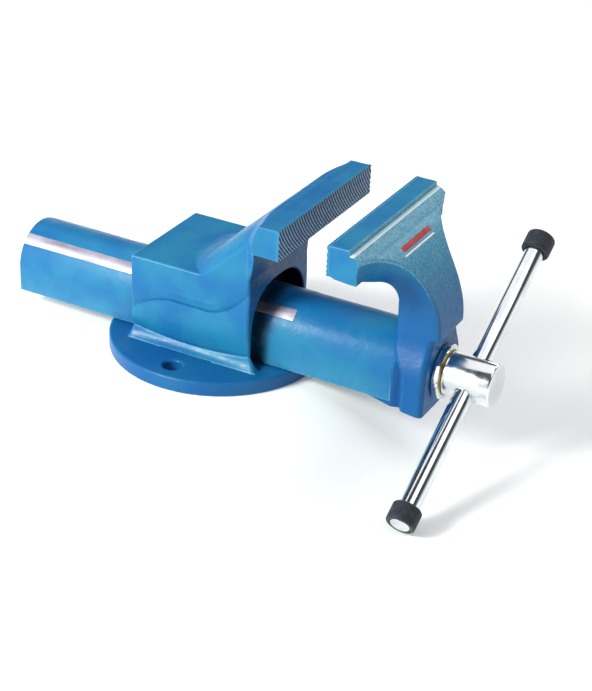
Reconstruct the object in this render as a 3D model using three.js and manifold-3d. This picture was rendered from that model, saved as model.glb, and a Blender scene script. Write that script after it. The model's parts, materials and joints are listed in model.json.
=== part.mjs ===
// Forged steel parallel bench vise with 125 mm jaws, drawn 32.5 mm open.
// Millimetres, +Z up. +X points from the fixed jaw towards the handle, the origin is the centre of
// the round base plate on its underside.
import * as THREE from 'three';
import { mergeVertices } from 'three/addons/utils/BufferGeometryUtils.js';
import { ConvexGeometry } from 'three/addons/geometries/ConvexGeometry.js';
import Module from 'manifold-3d';

const wasm = await Module();
wasm.setup();

// ---- Driving dimensions ---------------------------------------------------------------------

const FIT_GAP = 0.3; // between pieces that are bolted, pressed or welded together
const SLIDE_GAP = 0.5; // between the slide and the body that guides it

// jaws
const JAW_WIDTH = 125;
const JAW_TOP = 127.5;
const JAW_FACE_HEIGHT = 20.5;
const FIXED_FACE_X = 78;
const JAW_GAP = 32.5;
const MOVING_FACE_X = FIXED_FACE_X + JAW_GAP;
const BLOCK_BOTTOM = JAW_TOP - JAW_FACE_HEIGHT;
const BLOCK_REAR_X = 58.5; // of the fixed jaw's block

// base plate
const BASE_RADIUS = 74;
const BASE_THICKNESS = 10;
const BOLT_CIRCLE_RADIUS = 58.5;
const BOLT_HOLE_RADIUS = 6.25;
const BOLT_HOLE_CHAMFER = 1.2;

// fixed body
const BODY_REAR_X = -44.3;
const BODY_FRONT_X = 46;
const BODY_HALF_WIDTH = 40.5;
const ANVIL_TOP = 71;
const ANVIL_CHAMFER = 3;
const RAMP_FOOT_X = 0; // where the ramp behind the fixed jaw leaves the anvil
const CROWN_HALF_WIDTH = 27;
const RECESS_RADIUS = 34;
const RECESS_DEPTH = 10;

// slide: an arch-shaped bar, open below so that the nut can reach the spindle
const AXIS_Z = 28.4;
const SLIDE_RADIUS = 26.5;
const SLIDE_BORE = 20.5;
const SLIDE_BOTTOM = 11;
const SLIDE_REAR_X = -146;
const COLUMN_REAR_X = 143;
const COLUMN_FRONT_X = 165.6;
const COLUMN_BOTTOM = 5;
const VALLEY_LENGTH = 5; // where the column is no wider than the slide

// arm of the moving jaw
const ARM_HALF_WIDTH = 20;
const ARM_CENTRE = [102.5, 60]; // centre of the round front
const ARM_RADIUS = 67.7;
const ARM_FLATTENING = 1.6; // of the round front, at and round this height
const ARM_FLAT_Z = 98;
const ARM_FLAT_SPREAD = 17;
const ARM_STEP = [58.5, 53]; // height where the round front ends, height where the column begins
const THROAT_CENTRE = [120.5, 80];
const THROAT_RADIUS = 19.5;
const MILLED_REAR_X = 125.7; // rear edge of the jaw's milled top
const RIDGE_TOP = 124.4; // of the ridge behind it
const FLARE_ANGLE = 77; // degrees round the throat, where the arm is as wide as the jaw
const FLARE_STEPS = 9;
const SOFFIT_HALF_WIDTH = 40; // where the jaw's sloping underside meets the throat

// spindle
const THREAD_RADIUS = 10;
const JOURNAL_RADIUS = 9.7;
const SPINDLE_REAR_X = -118;
const THREAD_END_X = 124;
const HEAD_REAR_X = 171.2;
const HEAD_FRONT_X = 203.7;
const HEAD_RADIUS = 14.5;
const HEAD_CHAMFER = 1.5;

// handle, drawn at the angle at which it rests
const HANDLE_X = 186.6;
const HANDLE_TILT = THREE.MathUtils.degToRad(29.6);
const HANDLE_RADIUS = 6.7;
const HANDLE_HALF_LENGTH = 116;
const HANDLE_SHIFT = 3.1; // it rests a little towards its upper end
const RING_RADIUS = 9.7;
const RING_LENGTH = 13;
const RING_INNER_END = 102; // from the handle's middle

// nut and its screws
const NUT_REAR_X = -2;
const NUT_FRONT_X = 42;
const NUT_RADIUS = 17.5;
const NUT_BORE = 10.35;
const SCREW_RADIUS = 4;
const SCREW_HEAD_RADIUS = 7.8;
const SCREW_HEAD_Z = 0.4; // its flat face, just inside the plate
const SCREW_NECK_Z = 4.4;
const SCREW_TOP = 20.5;
const SOCKET_RADIUS = 2.9;
const SOCKET_TOP = 3;
const SCREW_XS = [8, 32];
const SCREW_Y = 12.5;

// thrust parts on the spindle, from front to rear
const RING_REAR_X = COLUMN_FRONT_X + FIT_GAP;
const RING_SEAT_X = 168;
const RING_FRONT_X = 170.4;
const THRUST_RING_RADIUS = 18.3;
const THRUST_RING_SEAT = 15.3;
const BUSH_RADIUS = 12.7;
const BUSH_BORE = 10;
const REAR_WASHER = [140.9, 142.7];
const DISC_SPRING_RADIUS = 15.2;
const DISC_SPRING_THICKNESS = 1.2;
const DISC_SPRING_HEIGHT = 2.1;
const COLLAR = [125, 135.7];
const COLLAR_RADIUS = 15.5;
const COLLAR_PIN_RADIUS = 2;
const PIN_X = (COLLAR[0] + COLLAR[1]) / 2;
const GRUB_RADIUS = 2.2; // friction plug and its screw, in the underside of the head
const PLUG_LENGTH = 3.5;

// ---- Materials ------------------------------------------------------------------------------

function finish(color, roughness, metalness) {
  return new THREE.MeshStandardMaterial({ color, roughness, metalness });
}

const bluePaint = finish(0x3f93c8, 0.38, 0.0);
const panelPaint = finish(0x5c9db4, 0.42, 0.1);
const chrome = finish(0xd9dde0, 0.12, 1.0);
const bareSteel = finish(0x9a9ea3, 0.35, 1.0);
const darkSteel = finish(0x55585c, 0.45, 0.9);
const brass = finish(0xb49a4a, 0.35, 1.0);
const blackRubber = finish(0x17181b, 0.8, 0.0);
const nylon = finish(0xd8d4c8, 0.6, 0.0);

// ---- Solids ---------------------------------------------------------------------------------

// Turns a closed three.js geometry into a solid that can be cut and joined.
function solid(geometry) {
  const bare = geometry.clone();
  bare.deleteAttribute('normal');
  bare.deleteAttribute('uv');
  const merged = mergeVertices(bare, 1e-4);
  const corners = merged.index.array;
  const triangles = [];
  for (let i = 0; i < corners.length; i += 3) {
    const [a, b, c] = corners.slice(i, i + 3);
    if (a !== b && b !== c && c !== a) triangles.push(a, b, c);
  }
  return new wasm.Manifold(new wasm.Mesh({
    numProp: 3,
    vertProperties: new Float32Array(merged.attributes.position.array),
    triVerts: new Uint32Array(triangles),
  }));
}

function join(...solids) {
  return solids.reduce((whole, next) => whole.add(next));
}

function cut(whole, ...tools) {
  return tools.reduce((left, tool) => left.subtract(tool), whole);
}

function meshOf(name, body, material) {
  const { vertProperties, triVerts } = body.getMesh();
  const geometry = new THREE.BufferGeometry();
  geometry.setAttribute('position', new THREE.BufferAttribute(vertProperties, 3));
  geometry.setIndex(new THREE.BufferAttribute(triVerts, 1));
  geometry.computeVertexNormals();
  const mesh = new THREE.Mesh(geometry, material);
  mesh.name = name;
  return mesh;
}

// A side view, given as [x, z] points, with a width along Y that is centred on y = 0.
function sideProfile(points, width) {
  const shape = new THREE.Shape(points.map(([x, z]) => new THREE.Vector2(x, z)));
  const geometry = new THREE.ExtrudeGeometry(shape, { depth: width, bevelEnabled: false });
  geometry.rotateX(Math.PI / 2);
  geometry.translate(0, width / 2, 0);
  return solid(geometry);
}

// A front view, a Shape in (y, z), run along X from one end to the other.
function frontProfile(shape, from, to, curveSegments = 12) {
  const geometry = new THREE.ExtrudeGeometry(shape, {
    depth: to - from, bevelEnabled: false, curveSegments,
  });
  const axes = new THREE.Matrix4().makeBasis(
    new THREE.Vector3(0, 1, 0), new THREE.Vector3(0, 0, 1), new THREE.Vector3(1, 0, 0),
  );
  geometry.applyMatrix4(axes);
  geometry.translate(from, 0, 0);
  return solid(geometry);
}

function mirroredShape(halfOutline) {
  const right = halfOutline.map(([y, z]) => new THREE.Vector2(y, z));
  const left = halfOutline.map(([y, z]) => new THREE.Vector2(-y, z)).reverse();
  return new THREE.Shape([...right, ...left]);
}

// An arch: straight sides up to the spindle's height, then a half round over it.
function arch(radius, bottom) {
  const shape = new THREE.Shape();
  shape.moveTo(radius, bottom);
  shape.lineTo(radius, AXIS_Z);
  shape.absarc(0, AXIS_Z, radius, 0, Math.PI, false);
  shape.lineTo(-radius, bottom);
  shape.closePath();
  return shape;
}

// Turned about the spindle's axis. The outline is [x, radius] points that end where they start,
// or start and end on the axis, with the outside run from rear to front.
function turned(outline, segments = 32) {
  const points = outline.map(([x, radius]) => new THREE.Vector2(radius, x));
  const geometry = new THREE.LatheGeometry(points, segments);
  geometry.rotateZ(-Math.PI / 2);
  geometry.translate(0, 0, AXIS_Z);
  return solid(geometry);
}

function ring(from, to, bore, radius, segments = 32) {
  return turned([[from, bore], [from, radius], [to, radius], [to, bore], [from, bore]], segments);
}

function standingRod(radius, bottom, top, x, y, segments = 20) {
  const geometry = new THREE.CylinderGeometry(radius, radius, top - bottom, segments);
  geometry.rotateX(Math.PI / 2);
  geometry.translate(x, y, (bottom + top) / 2);
  return solid(geometry);
}

function standingCone(bottomRadius, topRadius, bottom, top, x, y, segments = 20) {
  const geometry = new THREE.CylinderGeometry(topRadius, bottomRadius, top - bottom, segments);
  geometry.rotateX(Math.PI / 2);
  geometry.translate(x, y, (bottom + top) / 2);
  return solid(geometry);
}

function hullOf(points) {
  return solid(new ConvexGeometry(points.map((p) => new THREE.Vector3(...p))));
}

// Every [x, y, z] on both sides of the vise's middle plane.
function bothSides(points) {
  return points.flatMap(([x, y, z]) => [[x, y, z], [x, -y, z]]);
}

// A rod across the spindle's axis at the handle's angle plus `turn`, from `from` to `to` mm
// out from the axis.
function crossRod(radius, from, to, turn = 0, segments = 24, x = HANDLE_X) {
  const geometry = new THREE.CylinderGeometry(radius, radius, to - from, segments);
  geometry.translate(0, (from + to) / 2, 0);
  geometry.rotateX(HANDLE_TILT + turn);
  geometry.translate(x, 0, AXIS_Z);
  return solid(geometry);
}

// ---- Fixed side -----------------------------------------------------------------------------

function basePlate() {
  const disc = new THREE.Shape();
  disc.absarc(0, 0, BASE_RADIUS, 0, 2 * Math.PI, false);
  const plate = solid(new THREE.ExtrudeGeometry(disc, {
    depth: BASE_THICKNESS, bevelEnabled: false, curveSegments: 48,
  }));
  const cuts = [];
  for (const y of [-BOLT_CIRCLE_RADIUS, BOLT_CIRCLE_RADIUS]) {
    cuts.push(standingRod(BOLT_HOLE_RADIUS, -1, BASE_THICKNESS + 1, 0, y));
    cuts.push(standingCone(
      BOLT_HOLE_RADIUS, BOLT_HOLE_RADIUS + 2 * BOLT_HOLE_CHAMFER,
      BASE_THICKNESS - BOLT_HOLE_CHAMFER, BASE_THICKNESS + BOLT_HOLE_CHAMFER, 0, y,
    ));
  }
  for (const x of SCREW_XS) {
    for (const y of [-SCREW_Y, SCREW_Y]) {
      cuts.push(standingRod(SCREW_RADIUS + FIT_GAP, -1, BASE_THICKNESS + 1, x, y));
      cuts.push(standingCone(
        SCREW_HEAD_RADIUS + 5 * FIT_GAP, SCREW_RADIUS + FIT_GAP, -1, SCREW_NECK_Z + FIT_GAP, x, y,
      ));
    }
  }
  return meshOf('base_plate', cut(plate, ...cuts), bluePaint);
}

function jawBlock() {
  return sideProfile([
    [BLOCK_REAR_X, BLOCK_BOTTOM], [FIXED_FACE_X, BLOCK_BOTTOM], [FIXED_FACE_X, JAW_TOP],
    [62.5, JAW_TOP], [BLOCK_REAR_X, 117.5],
  ], JAW_WIDTH);
}

function fixedJawBody() {
  const foot = BASE_THICKNESS + FIT_GAP;
  const housing = frontProfile(mirroredShape([
    [41.5, foot], [40.5, 14], [37.5, 18], [38.5, 30], [37, 42], [BODY_HALF_WIDTH, 49],
    [BODY_HALF_WIDTH, ANVIL_TOP - ANVIL_CHAMFER], [BODY_HALF_WIDTH - ANVIL_CHAMFER, ANVIL_TOP],
  ]), BODY_REAR_X, BODY_FRONT_X);
  const flange = hullOf([
    ...bothSides([[-46.7, 41.5, foot], [52.8, 41.5, foot]]),
    ...bothSides([[BODY_REAR_X, 37.5, 18], [BODY_FRONT_X, 37.5, 20]]),
  ]);
  // web: a ramp up to the jaw, crowned in the middle, with a sloping front
  const web = hullOf(bothSides([
    [RAMP_FOOT_X, CROWN_HALF_WIDTH, ANVIL_TOP - 1], [59, CROWN_HALF_WIDTH, JAW_TOP - 0.5],
    [14.4, BODY_HALF_WIDTH, ANVIL_TOP - 1], [42, BODY_HALF_WIDTH, 102],
    [BODY_FRONT_X, BODY_HALF_WIDTH, 68], [BLOCK_REAR_X, BODY_HALF_WIDTH, BLOCK_BOTTOM + 1],
  ]));
  // the web's sides run out to the full width of the jaw
  const flare = hullOf(bothSides([
    [42, BODY_HALF_WIDTH, 102], [BODY_FRONT_X, BODY_HALF_WIDTH, 76],
    [BLOCK_REAR_X, JAW_WIDTH / 2 - 1, 117], [BLOCK_REAR_X, JAW_WIDTH / 2 - 1, BLOCK_BOTTOM + 1],
    [62, CROWN_HALF_WIDTH, JAW_TOP - 0.5],
  ]));
  const slideWay = frontProfile(arch(SLIDE_RADIUS + SLIDE_GAP, 0), -60, 60);
  const recess = frontProfile(arch(RECESS_RADIUS, BASE_THICKNESS), BODY_FRONT_X - RECESS_DEPTH, 60);
  const body = cut(join(housing, flange, web, flare, jawBlock()), slideWay, recess);
  return meshOf('fixed_jaw_body', body, bluePaint);
}

function spindleNut() {
  const block = frontProfile(arch(NUT_RADIUS, BASE_THICKNESS + FIT_GAP), NUT_REAR_X, NUT_FRONT_X);
  const bore = turned([[-10, 0], [-10, NUT_BORE], [50, NUT_BORE], [50, 0]]);
  const holes = SCREW_XS.flatMap((x) => [-SCREW_Y, SCREW_Y].map(
    (y) => standingRod(SCREW_RADIUS + FIT_GAP, 0, SCREW_TOP + FIT_GAP, x, y),
  ));
  return meshOf('spindle_nut', cut(block, bore, ...holes), bareSteel);
}

function nutScrew(name, x, y) {
  const profile = [[0, SCREW_HEAD_Z], [SCREW_HEAD_RADIUS, SCREW_HEAD_Z],
    [SCREW_RADIUS, SCREW_NECK_Z], [SCREW_RADIUS, SCREW_TOP], [0, SCREW_TOP]];
  const geometry = new THREE.LatheGeometry(profile.map(([r, z]) => new THREE.Vector2(r, z)), 20);
  geometry.rotateX(Math.PI / 2);
  geometry.translate(x, y, 0);
  const socket = standingRod(SOCKET_RADIUS, -1, SOCKET_TOP, x, y, 6);
  return meshOf(name, cut(solid(geometry), socket), darkSteel);
}

// ---- Sliding side ---------------------------------------------------------------------------

function slideTube() {
  const tube = cut(
    frontProfile(arch(SLIDE_RADIUS, SLIDE_BOTTOM), SLIDE_REAR_X, COLUMN_REAR_X - FIT_GAP),
    frontProfile(arch(SLIDE_BORE, 0), SLIDE_REAR_X - 1, COLUMN_REAR_X),
  );
  return meshOf('slide_tube', tube, bluePaint);
}

// Points on an arc in the side view, from one angle to another in degrees.
function sideArc([cx, cz], radius, from, to, steps) {
  return Array.from({ length: steps + 1 }, (_, i) => {
    const angle = THREE.MathUtils.degToRad(from + ((to - from) * i) / steps);
    return [cx + radius * Math.cos(angle), cz + radius * Math.sin(angle)];
  });
}

// The arm's inner and outer corner on one side, where a line from the throat's centre at that
// angle leaves the throat and meets the round front. The arm widens with the angle.
function armSection(angle) {
  const turn = angle / FLARE_ANGLE;
  const half = ARM_HALF_WIDTH + 8 * turn + 33 * turn ** 4;
  const cos = Math.cos(THREE.MathUtils.degToRad(angle));
  const sin = Math.sin(THREE.MathUtils.degToRad(angle));
  const offset = [THROAT_CENTRE[0] - ARM_CENTRE[0], THROAT_CENTRE[1] - ARM_CENTRE[1]];
  const along = offset[0] * cos + offset[1] * sin;
  const reach = Math.sqrt(ARM_RADIUS ** 2 - Math.hypot(...offset) ** 2 + along ** 2) - along;
  const height = THROAT_CENTRE[1] + reach * sin;
  const outer = reach - ARM_FLATTENING * Math.exp(-(((height - ARM_FLAT_Z) / ARM_FLAT_SPREAD) ** 2));
  return [[THROAT_RADIUS, Math.min(half, SOFFIT_HALF_WIDTH)], [outer, half]].map(
    ([radius, y]) => [THROAT_CENTRE[0] + radius * cos, y, THROAT_CENTRE[1] + radius * sin],
  );
}

function arm() {
  const fan = Array.from({ length: FLARE_STEPS }, (_, i) => {
    const step = FLARE_ANGLE / FLARE_STEPS;
    return hullOf(bothSides([...armSection(i * step), ...armSection((i + 1) * step)]));
  });
  const soffit = hullOf(bothSides([
    [112, 60, BLOCK_BOTTOM + 1], [131, 60, 105.5],
    [116, SOFFIT_HALF_WIDTH, 99.2], [125, SOFFIT_HALF_WIDTH, 99],
  ]));
  const inner = THROAT_CENTRE[0] + THROAT_RADIUS;
  const neck = sideProfile([
    [inner, 40], [COLUMN_FRONT_X, 40], [COLUMN_FRONT_X, ARM_STEP[1]],
    ...sideArc(ARM_CENTRE, ARM_RADIUS, -1.3, 17.2, 4), [inner, THROAT_CENTRE[1]],
  ], 2 * ARM_HALF_WIDTH);
  return join(...fan, soffit, neck);
}

function movingJaw() {
  const block = sideProfile([
    [MOVING_FACE_X, BLOCK_BOTTOM], [131.5, 104.5], [131, 122], [129, RIDGE_TOP],
    [MILLED_REAR_X, RIDGE_TOP], [MILLED_REAR_X, JAW_TOP], [MOVING_FACE_X, JAW_TOP],
  ], JAW_WIDTH);
  const column = frontProfile(mirroredShape([
    [28, COLUMN_BOTTOM], [28.5, 10], [28.5, 30], [26, 42], [ARM_HALF_WIDTH + 0.5, ARM_STEP[1]],
  ]), COLUMN_REAR_X + VALLEY_LENGTH, COLUMN_FRONT_X);
  const valley = frontProfile(
    arch(SLIDE_RADIUS - 1, COLUMN_BOTTOM + 1.5), COLUMN_REAR_X, COLUMN_REAR_X + VALLEY_LENGTH + 1,
  );
  const slideEnd = frontProfile(arch(SLIDE_RADIUS + FIT_GAP, 0), 100, COLUMN_REAR_X);
  const bore = BUSH_RADIUS + FIT_GAP;
  const whole = cut(
    join(block, arm(), valley, column), slideEnd, turned([[100, 0], [100, bore], [200, bore], [200, 0]]),
  );
  return meshOf('moving_jaw', whole, panelPaint);
}

function thrustRing() {
  return meshOf('thrust_ring', turned([
    [RING_REAR_X, BUSH_BORE + FIT_GAP], [RING_REAR_X, THRUST_RING_RADIUS - 0.6],
    [RING_REAR_X + 0.6, THRUST_RING_RADIUS], [RING_FRONT_X - 0.6, THRUST_RING_RADIUS],
    [RING_FRONT_X, THRUST_RING_RADIUS - 0.6], [RING_FRONT_X, THRUST_RING_SEAT],
    [RING_SEAT_X, THRUST_RING_SEAT], [RING_SEAT_X, BUSH_BORE + FIT_GAP],
    [RING_REAR_X, BUSH_BORE + FIT_GAP],
  ], 40), chrome);
}

function spindleBush() {
  return meshOf(
    'spindle_bush', ring(COLUMN_REAR_X, COLUMN_FRONT_X, BUSH_BORE, BUSH_RADIUS), brass,
  );
}

// ---- Turning side ---------------------------------------------------------------------------

function spindle() {
  const body = turned([
    [SPINDLE_REAR_X, 0], [SPINDLE_REAR_X, THREAD_RADIUS - 1.5],
    [SPINDLE_REAR_X + 1.5, THREAD_RADIUS], [THREAD_END_X, THREAD_RADIUS],
    [THREAD_END_X, JOURNAL_RADIUS], [HEAD_REAR_X, JOURNAL_RADIUS], [HEAD_REAR_X, HEAD_RADIUS],
    [HEAD_FRONT_X - HEAD_CHAMFER, HEAD_RADIUS], [HEAD_FRONT_X, HEAD_RADIUS - HEAD_CHAMFER],
    [HEAD_FRONT_X, 0],
  ]);
  const handleHole = crossRod(HANDLE_RADIUS + 0.35, -20, 20);
  const plugHole = crossRod(GRUB_RADIUS + FIT_GAP, -20, -1, Math.PI / 2, 12);
  const pinHole = crossRod(COLLAR_PIN_RADIUS + FIT_GAP, -20, 20, 0, 12, PIN_X);
  return meshOf('spindle', cut(body, handleHole, plugHole, pinHole), chrome);
}

function thrustWasher() {
  return meshOf('thrust_washer', ring(
    RING_SEAT_X + FIT_GAP, RING_FRONT_X + 0.5, JOURNAL_RADIUS + FIT_GAP, THRUST_RING_SEAT - FIT_GAP,
  ), brass);
}

function rearThrustWasher() {
  return meshOf('rear_thrust_washer', ring(
    REAR_WASHER[0], REAR_WASHER[1], JOURNAL_RADIUS + FIT_GAP, COLLAR_RADIUS,
  ), bareSteel);
}

// A cone-shaped spring washer. `lean` is 1 when its wide edge is in front, -1 when behind.
function discSpring(name, rearX, lean) {
  const inner = JOURNAL_RADIUS + FIT_GAP;
  const rise = DISC_SPRING_HEIGHT - DISC_SPRING_THICKNESS;
  const innerX = lean > 0 ? rearX : rearX + rise;
  const outerX = lean > 0 ? rearX + rise : rearX;
  return meshOf(name, turned([
    [innerX, inner], [outerX, DISC_SPRING_RADIUS],
    [outerX + DISC_SPRING_THICKNESS, DISC_SPRING_RADIUS],
    [innerX + DISC_SPRING_THICKNESS, inner], [innerX, inner],
  ]), darkSteel);
}

function retainingCollar() {
  const collar = ring(COLLAR[0], COLLAR[1], JOURNAL_RADIUS + FIT_GAP, COLLAR_RADIUS);
  const pinHole = crossRod(COLLAR_PIN_RADIUS + FIT_GAP, -20, 20, 0, 12, PIN_X);
  return meshOf('retaining_collar', cut(collar, pinHole), darkSteel);
}

function collarPin() {
  return meshOf('collar_pin', crossRod(
    COLLAR_PIN_RADIUS, 0.5 - COLLAR_RADIUS, COLLAR_RADIUS - 0.5, 0, 12, PIN_X,
  ), bareSteel);
}

function frictionPlug() {
  const seat = HANDLE_RADIUS + 0.1;
  const rod = crossRod(GRUB_RADIUS, -seat - PLUG_LENGTH, -seat, Math.PI / 2, 12);
  return meshOf('friction_plug', rod, nylon);
}

function frictionScrew() {
  const end = -HANDLE_RADIUS - PLUG_LENGTH - 0.5;
  const rod = crossRod(GRUB_RADIUS, 1 - HEAD_RADIUS, end, Math.PI / 2, 12);
  return meshOf('friction_screw', rod, darkSteel);
}

// ---- Handle ---------------------------------------------------------------------------------

function handleBar() {
  const bevel = 1.2;
  const end = HANDLE_HALF_LENGTH;
  const profile = [[0, -end], [HANDLE_RADIUS - bevel, -end], [HANDLE_RADIUS, bevel - end],
    [HANDLE_RADIUS, end - bevel], [HANDLE_RADIUS - bevel, end], [0, end]];
  const geometry = new THREE.LatheGeometry(profile.map(([r, t]) => new THREE.Vector2(r, t)), 24);
  geometry.translate(0, HANDLE_SHIFT, 0);
  geometry.rotateX(HANDLE_TILT);
  geometry.translate(HANDLE_X, 0, AXIS_Z);
  return meshOf('handle_bar', solid(geometry), chrome);
}

function gripRing(name, side) {
  const ends = [RING_INNER_END, RING_INNER_END + RING_LENGTH].map((end) => HANDLE_SHIFT + side * end);
  const from = Math.min(...ends);
  const to = Math.max(...ends);
  const bore = crossRod(HANDLE_RADIUS + 0.15, from - 1, to + 1);
  return meshOf(name, cut(crossRod(RING_RADIUS, from, to, 0, 32), bore), blackRubber);
}

// ---- Assembly -------------------------------------------------------------------------------

const vise = new THREE.Group();
vise.add(basePlate(), fixedJawBody(), spindleNut());
for (const [place, x] of [['rear', SCREW_XS[0]], ['front', SCREW_XS[1]]]) {
  vise.add(nutScrew(`nut_screw_${place}_right`, x, -SCREW_Y));
  vise.add(nutScrew(`nut_screw_${place}_left`, x, SCREW_Y));
}

const slide = new THREE.Group();
slide.add(movingJaw(), slideTube(), spindleBush(), thrustRing());

const turning = new THREE.Group();
const springStep = DISC_SPRING_HEIGHT + 0.2;
const springX = COLLAR[1] + FIT_GAP;
turning.add(
  spindle(), thrustWasher(), rearThrustWasher(),
  discSpring('disc_spring_rear', springX, 1),
  discSpring('disc_spring_front', springX + springStep, -1),
  retainingCollar(), collarPin(), frictionPlug(), frictionScrew(),
);

const handle = new THREE.Group();
handle.add(handleBar(), gripRing('grip_ring_upper', 1), gripRing('grip_ring_lower', -1));

turning.add(handle);
slide.add(turning);
vise.add(slide);

export default vise;
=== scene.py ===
"""Look of a forged steel bench vise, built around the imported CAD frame.

Shapes are worked out in millimetres, and scaled to metres when a mesh is made. The forged and cast
pieces are signed distance functions, meshed by skin(); turned pieces are lathe profiles.
"""
import json
import math

import bmesh
import bpy
import numpy as np
from mathutils import Matrix, Vector

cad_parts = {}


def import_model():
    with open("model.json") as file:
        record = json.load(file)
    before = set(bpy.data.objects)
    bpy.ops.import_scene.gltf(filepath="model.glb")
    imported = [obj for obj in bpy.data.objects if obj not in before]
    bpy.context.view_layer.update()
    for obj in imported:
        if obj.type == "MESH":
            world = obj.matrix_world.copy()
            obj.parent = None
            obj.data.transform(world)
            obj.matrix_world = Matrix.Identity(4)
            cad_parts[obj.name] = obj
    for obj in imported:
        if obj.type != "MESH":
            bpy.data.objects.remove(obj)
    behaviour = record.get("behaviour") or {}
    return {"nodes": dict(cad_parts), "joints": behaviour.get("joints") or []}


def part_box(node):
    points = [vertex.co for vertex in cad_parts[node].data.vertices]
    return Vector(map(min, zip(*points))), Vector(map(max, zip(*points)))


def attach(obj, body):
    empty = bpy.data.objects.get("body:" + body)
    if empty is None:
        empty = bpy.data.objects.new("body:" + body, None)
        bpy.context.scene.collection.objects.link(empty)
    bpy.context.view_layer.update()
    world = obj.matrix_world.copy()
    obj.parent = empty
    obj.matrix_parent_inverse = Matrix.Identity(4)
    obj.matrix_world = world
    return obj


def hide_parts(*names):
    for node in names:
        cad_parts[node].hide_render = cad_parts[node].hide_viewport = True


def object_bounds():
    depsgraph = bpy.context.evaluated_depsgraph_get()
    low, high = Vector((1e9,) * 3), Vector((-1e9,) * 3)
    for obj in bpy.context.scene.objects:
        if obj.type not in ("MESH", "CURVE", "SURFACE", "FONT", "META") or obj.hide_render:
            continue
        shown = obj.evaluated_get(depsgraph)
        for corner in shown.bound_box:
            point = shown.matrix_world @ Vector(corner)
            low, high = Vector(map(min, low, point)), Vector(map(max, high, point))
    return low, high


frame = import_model()
cad_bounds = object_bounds()

MM = 0.001
FIXED, SLIDING, TURNING, HANDLE = "vise_body", "jaw_slide_body", "spindle_body", "handle_body"
SKIN_STEP = 0.85  # grid step of the forged pieces, mm


def box_mm(node):
    """Low and high corner of a CAD node."""
    low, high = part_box(node)
    return np.array(low) / MM, np.array(high) / MM


# ---- Sizes taken from the frame ---------------------------------------------------------------

body_low, body_high = box_mm("fixed_jaw_body")
jaw_low, jaw_high = box_mm("moving_jaw")
tube_low, tube_high = box_mm("slide_tube")
plate_low, plate_high = box_mm("base_plate")
spindle_low, spindle_high = box_mm("spindle")
bar_low, bar_high = box_mm("handle_bar")

JAW_HALF = body_high[1]
JAW_TOP = body_high[2]
FIXED_FACE = body_high[0]
MOVING_FACE = jaw_low[0]
BLOCK_BOTTOM = JAW_TOP - 20.5
PLATE_STEP = 1.6  # the blocks end this far behind the jaws' grooved faces
TUBE_RADIUS = tube_high[1]
AXIS_Z = tube_high[2] - TUBE_RADIUS
TUBE_BOTTOM = tube_low[2]
TUBE_WALL = 6
PLATE_RADIUS = plate_high[0]
PLATE_TOP = plate_high[2]
HEAD_RADIUS = spindle_high[1]
HEAD_FRONT = spindle_high[0]

# base: two bolt holes, and the holes of the nut's four screws
BOLT_Y, BOLT_HOLE, BOLT_CHAMFER = 58.5, 6.25, 1.2
SCREW_XS, SCREW_Y, SCREW_HOLE, SCREW_SINK = (8, 32), 12.5, 4.3, 9.4

# housing
BODY_REAR = body_low[0] + 2.4
BODY_FRONT = 45.8
BODY_HALF = 40.5
ANVIL_TOP = 71
BLOCK_REAR = 58.5
WEB_START = 42.5  # where the web begins to flare out to the jaw's width
WEB_BOTTOM = 70
FRONT_LEAN_START = 75.5  # height where the front begins to lean towards the jaw
WAY_RADIUS = TUBE_RADIUS + 0.5
OPENING, OPENING_POWER, OPENING_DEPTH = 35.3, 2.6, 16  # round the slide, a squarish arch
# its side, from above: a raised flat, a crease, a barrel, a second crease, and a flared foot
RISE_START = 14  # where the flat's edge and the crease turn up towards the jaw
EDGE_HEIGHT, CREASE_HEIGHT, FOOT_HEIGHT = 51.5, 45, 15.2
FLAT_HALF, BARREL_HALF, FOOT_HALF = 39.2, 37.6, 42.8

# moving jaw
ARM_FRONT = jaw_high[0]
ARM_RADIUS = 67.7
ARM_CENTRE = (ARM_FRONT - ARM_RADIUS, 60)
ARM_FLATTENING, ARM_FLAT_Z, ARM_FLAT_SPREAD = 1.6, 98, 17  # of the round front
ARM_STEP = (57, 62)  # height where the round front ends, and height where the column begins
ARM_HALF = 20
FLARE_ANGLE = math.radians(77)  # round the throat, where the arm is as wide as the jaw
SOFFIT_HALF = 38  # where the jaw's sloping underside meets the throat
COLUMN_FRONT = ARM_FRONT - 4.6
COLUMN_REAR = 143
COLUMN_BOTTOM = jaw_low[2]
COLUMN_SPREAD = 8.2  # the column is wider than the arm by this, on each side
THROAT = (120.5, 80)
THROAT_RADIUS = 19.5
MOVING_BLOCK_FRONT = 131.2
MILLED_REAR = 125.7
RIDGE_TOP, RIDGE_FRONT = JAW_TOP - 3.1, 128  # the ridge behind the moving jaw's milled top
SLANT_BOTTOM = 118.5  # of the slope in front of the ridge

# spindle and handle
THREAD_END = 124.0
HEAD_REAR = 171.2
SPINDLE_BORE = 12.9  # through the column

HANDLE_AXIS = Vector(next(j["axis"] for j in frame["joints"] if j["name"] == "handle_slide"))
HANDLE_CENTRE = Vector((bar_low + bar_high) / 2)
HANDLE_RADIUS = (bar_high[0] - bar_low[0]) / 2
HANDLE_HALF = ((bar_high[1] - bar_low[1]) / 2 - HANDLE_RADIUS * HANDLE_AXIS.z) / HANDLE_AXIS.y
HEAD_CENTRE = Vector((HANDLE_CENTRE.x, 0, AXIS_Z))


# ---- Distance functions ------------------------------------------------------------------------

def both(a, b, radius=0.0):
    """Where both shapes are, with the edge between them rounded off."""
    inner = np.minimum(np.maximum(a, b), -radius)
    return inner + np.hypot(np.maximum(a + radius, 0), np.maximum(b + radius, 0))


def either(a, b, radius=0.0):
    """Where either shape is, with a fillet between them."""
    return -both(-a, -b, radius)


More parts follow.
